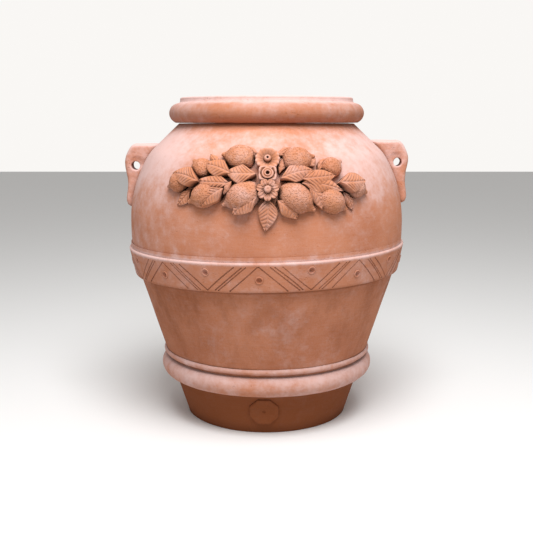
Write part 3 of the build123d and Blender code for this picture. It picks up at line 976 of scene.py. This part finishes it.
def lemon(name, angle, up, direction, length, radius, rise_above):
    half = length / 2
    outline = []
    for t in np.linspace(180, 35, 30):
        outline.append((radius * math.sin(math.radians(t)), half * math.cos(math.radians(t))))
    neck_radius, neck_out = outline[-1]
    for share in np.linspace(0.14, 1, 7):
        narrowed = tip_radius + (neck_radius - tip_radius) * (1 - share) ** 1.7
        outline.append((narrowed, neck_out + share * (half + tip_length - neck_out)))
    outline += [(0.8 * tip_radius, half + tip_length + 1.6), (0.4 * tip_radius, half + tip_length + 2.4)]
    outline.append((0.0, half + tip_length + 2.6))
    outline[0] = (0.0, -half)
    obj = spun(name, [(r * MM, x * MM) for r, x in outline], 60, axis=(1, 0, 0), closed=False)
    apply_modifier(obj, "SUBSURF", levels=1, render_levels=1)
    apply_place(obj, pressed)
    uneven(obj, cloud(name + "_swelling", 24 * MM), 1.2 * MM, 0.5)
    apply_place(obj, Matrix.Translation((up * MM, angle * MM, direction * MM)))
    uneven(obj, skin_pits, 1.1 * MM, 0.45)
    uneven(obj, fine_lumps, 0.8 * MM, 0.5)
    apply_place(obj, Matrix.Translation((-up * MM, -angle * MM, -direction * MM)))
    start_edit(obj)
    bpy.ops.mesh.bisect(
        plane_co=(0, 0, -(rise_above + 5) * MM), plane_no=(0, 0, 1), use_fill=True, clear_inner=True
    )
    end_edit()
    lift = Matrix.Translation((0, 0, rise_above * MM))
    turn = Matrix.Rotation(math.radians(direction), 4, "Z")
    apply_place(obj, garland_place(angle, up) @ lift @ turn)
    return dress(obj, name, fruit_clay, 60)


for name, layout in lemons.items():
    lemon(name, *layout)

# %% [markdown]
# ## Leaves
# A pressed leaf is a thick blade with a sunk midrib, side veins that run towards the tip and a
# margin that lifts and falls. We start from a grid, seven rows for each vein, and move its points:
# across to the outline, forward along the veins, and up or down for ribs. The blade is then extruded
# back to the wall, a little narrower below, so that a dark undercut shows round it.

# %% Layout of the leaves
# Each leaf: base and tip as angle and height, width, rise of its back above the wall, tip drop
leaves = {
    "leaf_bottom_middle": ((-0.3, -18), (-0.9, -89), 34, 14, 8),
    "leaf_bottom_right": ((3.2, -26), (10.4, -64), 30, 18, 10),
    "leaf_bottom_left": ((-3.5, -20), (-12.0, -56), 32, 24.5, 8),
    "leaf_left_inner": ((-4.1, 24), (-15.4, 26), 37, 26, 4),
    "leaf_left_upper": ((-13.4, 24), (-25.2, 43), 32, 24, 8),
    "leaf_left_middle": ((-13.8, 6), (-27.1, 9), 28, 22, 4),
    "leaf_far_left": ((-25.5, 6), (-38.0, 20), 34, 29, 8),
    "leaf_far_left_low": ((-30.5, -6), (-35.9, -41), 24, 9, 4),
    "leaf_lower_left": ((-15.5, -4), (-23.8, -41), 28, 26, 8),
    "leaf_between_left": ((-13.0, 11), (-15.6, -16), 13, 24, 4),
    "leaf_upper_left_back": ((-20.5, 45), (-25.2, 67), 14, 10, 4),
    "leaf_top_left_back": ((-4.3, 64), (-12.5, 87), 16, 9, 3),
    "leaf_tip_left": ((-30.5, 28), (-36.9, 32), 16, 9, 3),
    "leaf_top_right_back": ((3.6, 64), (10.7, 85), 16, 9, 3),
    "leaf_right_inner": ((4.6, 15), (17.5, 30), 32, 26, 4),
    "leaf_right_upper": ((12.2, 14), (26.3, 22), 30, 24, 8),
    "leaf_right_middle": ((12.5, 6), (28.6, -11), 28, 22, 4),
    "leaf_far_right": ((26.6, 4), (39.2, 7), 36, 29, 8),
    "leaf_lower_right": ((14.9, 3), (19.8, -46), 24, 20, 6),
    "leaf_far_right_low": ((29.9, -12), (33.5, -51), 20, 9, 4),
    "leaf_upper_right_inner": ((15.5, 38), (19.7, 57), 14, 16, 4),
    "leaf_upper_right_back": ((20.3, 34), (26.1, 60), 14, 10, 4),
    "leaf_flower_right": ((4.4, 27), (5.8, 58), 14, 16, 3),
}
leaf_belly = 0.42
leaf_dip = 6
leaf_hand = random.Random(11)
leaf_bend = 0.06          # how far a blade may bend sideways, as a share of its length
leaf_fullness = 1.28      # the pressed blades spread a little past their outlines
leaf_reach = 1.08         # and run a little past both ends
leaf_wave = 1.8
blade_edge = 2.5
vein_spacing = 10
vein_angle = math.radians(38)


# %% The form of a blade
def half_width(share, width):
    """Half the width of a leaf at a share of its length, zero at both ends."""
    share = np.clip(share, 0, 1)
    to_base, to_tip = (leaf_belly - share) / leaf_belly, (share - leaf_belly) / (1 - leaf_belly)
    reach = np.where(share < leaf_belly, to_base, to_tip)
    return width / 2 * (1 - reach**2) ** np.where(share < leaf_belly, 0.9, 1.2)


def depth_at_midrib(width):
    return min(1, width / 30)


def blade_point(row, side, length, width, veins, wave):
    """A point of the blade in millimetres. Row runs from base to tip, side from -1 to 1."""
    margin = row
    for _ in range(12):
        margin = row + (1 - row) * half_width(margin, width) / math.tan(vein_angle) / length
    share = row + (margin - row) * abs(side)
    y = float(half_width(margin, width)) * side
    x = length * (share - 0.5)
    dome = leaf_dip * (2 * share - 1) ** 2 + 0.9 * leaf_dip * (abs(y) / (width / 2)) ** 2
    phase = (veins * row) % 1
    to_vein = min(phase, 1 - phase)
    depth = min(1, width / 34) * min(1, abs(side) * 4) * (1 - side**4)
    z = -dome + depth * (1.1 * math.sin(math.pi * phase) - 1.1 * math.exp(-((to_vein / 0.15) ** 2)))
    z -= 2.6 * depth_at_midrib(width) * math.exp(-((y / 1.3) ** 2)) * (1 - 0.6 * share)
    z += wave * abs(side) ** 3 * math.sin(2 * math.pi * (1.6 * share + 0.3 * np.sign(side)))
    return x, y, z


# %% A leaf
def press_back(obj, depth, narrowed, middle=0):
    """Runs a blade back to the wall: its own edge first, then a foot that narrows below it."""
    start_edit(obj)
    bpy.ops.mesh.remove_doubles(threshold=0.02 * MM)
    bpy.ops.mesh.select_all(action="SELECT")
    extrude((0, 0, -blade_edge * MM))
    extrude((0, 0, -depth * MM))
    bpy.ops.transform.resize(value=(*narrowed, 1), center_override=(middle * MM, 0, 0))
    close_skin()


def leaf(name, base, tip, width, rise_above, drop):
    middle = garland_place((base[0] + tip[0]) / 2, (base[1] + tip[1]) / 2)
    start = middle.inverted() @ garland_place(*base).translation
    end = middle.inverted() @ garland_place(*tip).translation
    length = (end - start).length / MM * leaf_reach
    width *= leaf_fullness
    veins = max(3, round(length / vein_spacing))
    bpy.ops.mesh.primitive_grid_add(x_subdivisions=7 * veins, y_subdivisions=18, size=1)
    obj = named(bpy.context.object, name)
    bend = leaf_hand.choice((-1, 1)) * leaf_hand.uniform(0.4, 1) * leaf_bend * length
    for vertex in obj.data.vertices:
        x, y, z = blade_point(vertex.co.x + 0.5, 2 * vertex.co.y, length, width, veins, leaf_wave)
        y += bend * (1 - (2 * x / length) ** 2)
        vertex.co = (x * MM, y * MM, (z + rise_above) * MM)
    press_back(obj, rise_above + 1, (0.86, 0.72))
    soften(obj, 0.8)
    turn = Matrix.Rotation(math.atan2(end.y - start.y, end.x - start.x), 4, "Z")
    fall = Matrix.Rotation(math.atan2(drop, length), 4, "Y")
    apply_place(obj, middle @ turn @ fall)
    return dress(obj, name, leaf_clay, 70)


for name, layout in leaves.items():
    leaf(name, *layout)

# %% [markdown]
# ## Flowers
# Three flowers sit between the fruit. The top one is a ruffled cup round a pierced nub, the middle
# one a square rosette rolled in rings round a dark hole, and the lowest a daisy of seven grooved
# petals round a domed eye. The round parts are spun, and their edges are then pinched in code.

# %% Spun parts of the flowers
root = -4


def sprig(name, profile, place, reshape=None, steps=72):
    """Spins a profile of (radius, height) in millimetres, reshapes it and sets it on the wall."""
    obj = spun(name, [(r * MM, z * MM) for r, z in profile], steps, closed=False)
    if reshape:
        for vertex in obj.data.vertices:
            reshape(vertex)
    soften(obj, 0.7)
    apply_place(obj, garland_place(*place))
    return dress(obj, name, leaf_clay, 70)


def ruffle(vertex):
    turn = math.atan2(vertex.co.y, vertex.co.x)
    out = math.hypot(vertex.co.x, vertex.co.y) / (24 * MM)
    if out > 0.4:
        push = 1 + 0.03 * out**2 * math.cos(15 * turn)
        vertex.co.x *= push
        vertex.co.y *= push
    if vertex.co.z > 5 * MM:
        vertex.co.z -= 1.3 * MM * abs(math.sin(7.5 * turn)) ** 4 * min(1, max(0, 3 * out - 1.0))


cup_profile = [(0, root), (19, root), (20, 3), (22.5, 9), (25, 13), (26.8, 16), (26.6, 18.6)]
cup_profile += [(24.8, 20.4), (22.2, 20.4), (19.8, 19.4), (16.5, 17.6), (13.5, 15.6), (11, 14), (0, 13.6)]
sprig("cup_flower_petals", cup_profile, (0, 54.5), ruffle, steps=90)
nub_profile = [(0, 8), (8.2, 8), (8.7, 14), (8.5, 18), (7.3, 21.2), (5.4, 22.8), (3.4, 23.2)]
nub_profile += [(2.2, 22.2), (1.9, 17), (0, 16.5)]
sprig("cup_flower_eye", nub_profile, (0, 55), steps=40)


def square_off(vertex):
    turn = math.atan2(vertex.co.y, vertex.co.x)
    out = math.hypot(vertex.co.x, vertex.co.y) / (20 * MM)
    squared = (abs(math.cos(turn)) ** 5 + abs(math.sin(turn)) ** 5) ** (-1 / 5)
    push = 1 + (squared - 1) * min(1, out) ** 2
    vertex.co.x *= push
    vertex.co.y *= 0.9 * push
    if out > 0.7 and vertex.co.z > 0:
        vertex.co.z -= 2.4 * MM * abs(math.cos(2 * turn)) ** 8


petal_profile = [(0, root), (16.5, root), (17.5, 8), (19.6, 15), (19.8, 19), (18, 21.8)]
petal_profile += [(15.6, 21.4), (14.4, 18), (0, 17)]
sprig("rosette_petals", petal_profile, (0, 25), square_off)
heart_profile = [(0, 15), (13.4, 15), (13.8, 19), (12.8, 21.6), (11.2, 22.8), (9.6, 22.6), (8.6, 21.6)]
heart_profile += [(7.8, 22.2), (6.8, 23.6), (5.6, 24.2), (4.4, 23.6), (3.4, 21.6), (3.0, 17)]
heart_profile += [(2.8, 13), (0, 12.5)]
sprig("rosette_heart", heart_profile, (0, 25), steps=56)
eye_profile = [(0, 22), (7.6, 22), (8, 28), (7.4, 31), (5.4, 32.7), (3, 33), (1.4, 32.4), (0, 31.6)]
sprig("daisy_eye", eye_profile, (0, -8), steps=40)

# %% [markdown]
# ## Daisy petals
# A petal is a small grid with a rounded end, domed, with two grooves drawn out from the eye. It is
# modelled once, turned about the eye seven times, and joined.

# %% Petals
daisy_count = 7
daisy_turn = 115
petal_start = 5
petal_length = 20
petal_top = 27.8
petal_half = 7.9


def petal():
    bpy.ops.mesh.primitive_grid_add(x_subdivisions=16, y_subdivisions=12, size=1)
    obj = bpy.context.object
    for vertex in obj.data.vertices:
        share = vertex.co.x + 0.5
        side = 2 * vertex.co.y
        round_end = math.sqrt(max(0.0, 1 - max(0, (share - 0.62) / 0.38) ** 2.6))
        half = petal_half * (0.62 + 0.5 * math.sin(math.pi * (0.15 + 0.62 * share))) * round_end
        x = petal_start + petal_length * share
        y = 0.95 * half * side
        near_groove = sum(math.exp(-(((side - g) / 0.16) ** 2)) for g in (-0.36, 0.36))
        grooves = 2.8 * near_groove * (1 - 0.4 * share)
        rolled = 1.2 * abs(side) ** 4 + 1.8 * math.exp(-(((share - 0.85) / 0.2) ** 2))
        crease = 3 * math.exp(-(((share - 0.16) / 0.13) ** 2))
        z = petal_top - 4.5 * share**2 - 1.6 * side**2 - grooves + rolled - crease
        vertex.co = (x * MM, y * MM, z * MM)
    press_back(obj, 26, (0.8, 0.7), petal_start)
    return obj


first = petal()
petals = []
for step in range(daisy_count):
    copy = first.copy()
    copy.data = first.data.copy()
    bpy.context.scene.collection.objects.link(copy)
    apply_place(copy, Matrix.Rotation(math.radians(daisy_turn + step * 360 / daisy_count), 4, "Z"))
    petals.append(copy)
bpy.data.objects.remove(first)
daisy = named(joined(petals), "daisy_petals")
soften(daisy, 0.7)
apply_place(daisy, garland_place(0, -8))
dress(daisy, "daisy_petals", leaf_clay, 70)

# %% [markdown]
# ## Floor, light and camera
# The jar stands on a floor under an even sky. Both light it as a mid grey, but the camera sees them
# nearly white, which keeps the shadows soft and the surroundings quiet. One large soft light from
# above and a little in front gives the pale top of the rim and the dark under the belt, which the
# highlight and shade painted into the clay there deepen. The camera stands two metres away, a little
# below the height of the rim, and looks down by ten degrees.


# %% Stage
def backdrop(name, lit_by, seen):
    """A floor that lights the jar as one grey, and that the camera sees as another."""
    material, tree, shader = new_material(name)
    camera_ray = put(tree, "ShaderNodeLightPath").outputs["Is Camera Ray"]
    tree.links.new(mix(tree, camera_ray, lit_by, seen), shader.inputs["Base Color"])
    shader.inputs["Roughness"].default_value = 0.9
    return material


bpy.ops.mesh.primitive_plane_add(size=14, location=(0, 3, 0))
ground = named(bpy.context.object, "ground")
bpy.ops.object.transform_apply(location=True)
lit_grey = (0.60, 0.59, 0.58, 1)
seen_grey = (0.9, 0.9, 0.9, 1)
ground.data.materials.append(backdrop("pale_floor", lit_grey, seen_grey))

# %% Light
world = bpy.data.worlds.new("even_sky")
world.use_nodes = True
sky = world.node_tree.nodes["Background"]
sky.inputs["Color"].default_value = (1.0, 0.98, 0.955, 1)
sky_strength = 0.46
seen_strength = 0.95
camera_ray = put(world.node_tree, "ShaderNodeLightPath").outputs["Is Camera Ray"]
strength = spread(world.node_tree, camera_ray, 0, 1, sky_strength, seen_strength)
world.node_tree.links.new(strength, sky.inputs["Strength"])
bpy.context.scene.world = world


def soft_light(name, place, aim, size, power):
    data = bpy.data.lights.new(name, "AREA")
    data.size = size
    data.energy = power
    light = bpy.data.objects.new(name, data)
    bpy.context.scene.collection.objects.link(light)
    light.location = place
    light.rotation_mode = "QUATERNION"
    light.rotation_quaternion = (Vector(aim) - Vector(place)).to_track_quat("-Z", "Y")


soft_light("sky_panel", (0.15, -1.35, 2.65), (0, 0, 0.5), 1.5, 80)

# %% Camera
camera_lens = 55.4
camera_back = 2.0887
camera_height = 0.7444
looks_down = 10.12
camera_data = bpy.data.cameras.new("camera")
camera_data.sensor_width = 36
camera_data.lens = camera_lens
camera = bpy.data.objects.new("camera", camera_data)
bpy.context.scene.collection.objects.link(camera)
camera.location = (0, -camera_back, camera_height)
camera.rotation_euler = (math.radians(90 - looks_down), 0, 0)
bpy.context.scene.camera = camera
bpy.context.scene.view_settings.view_transform = "Standard"
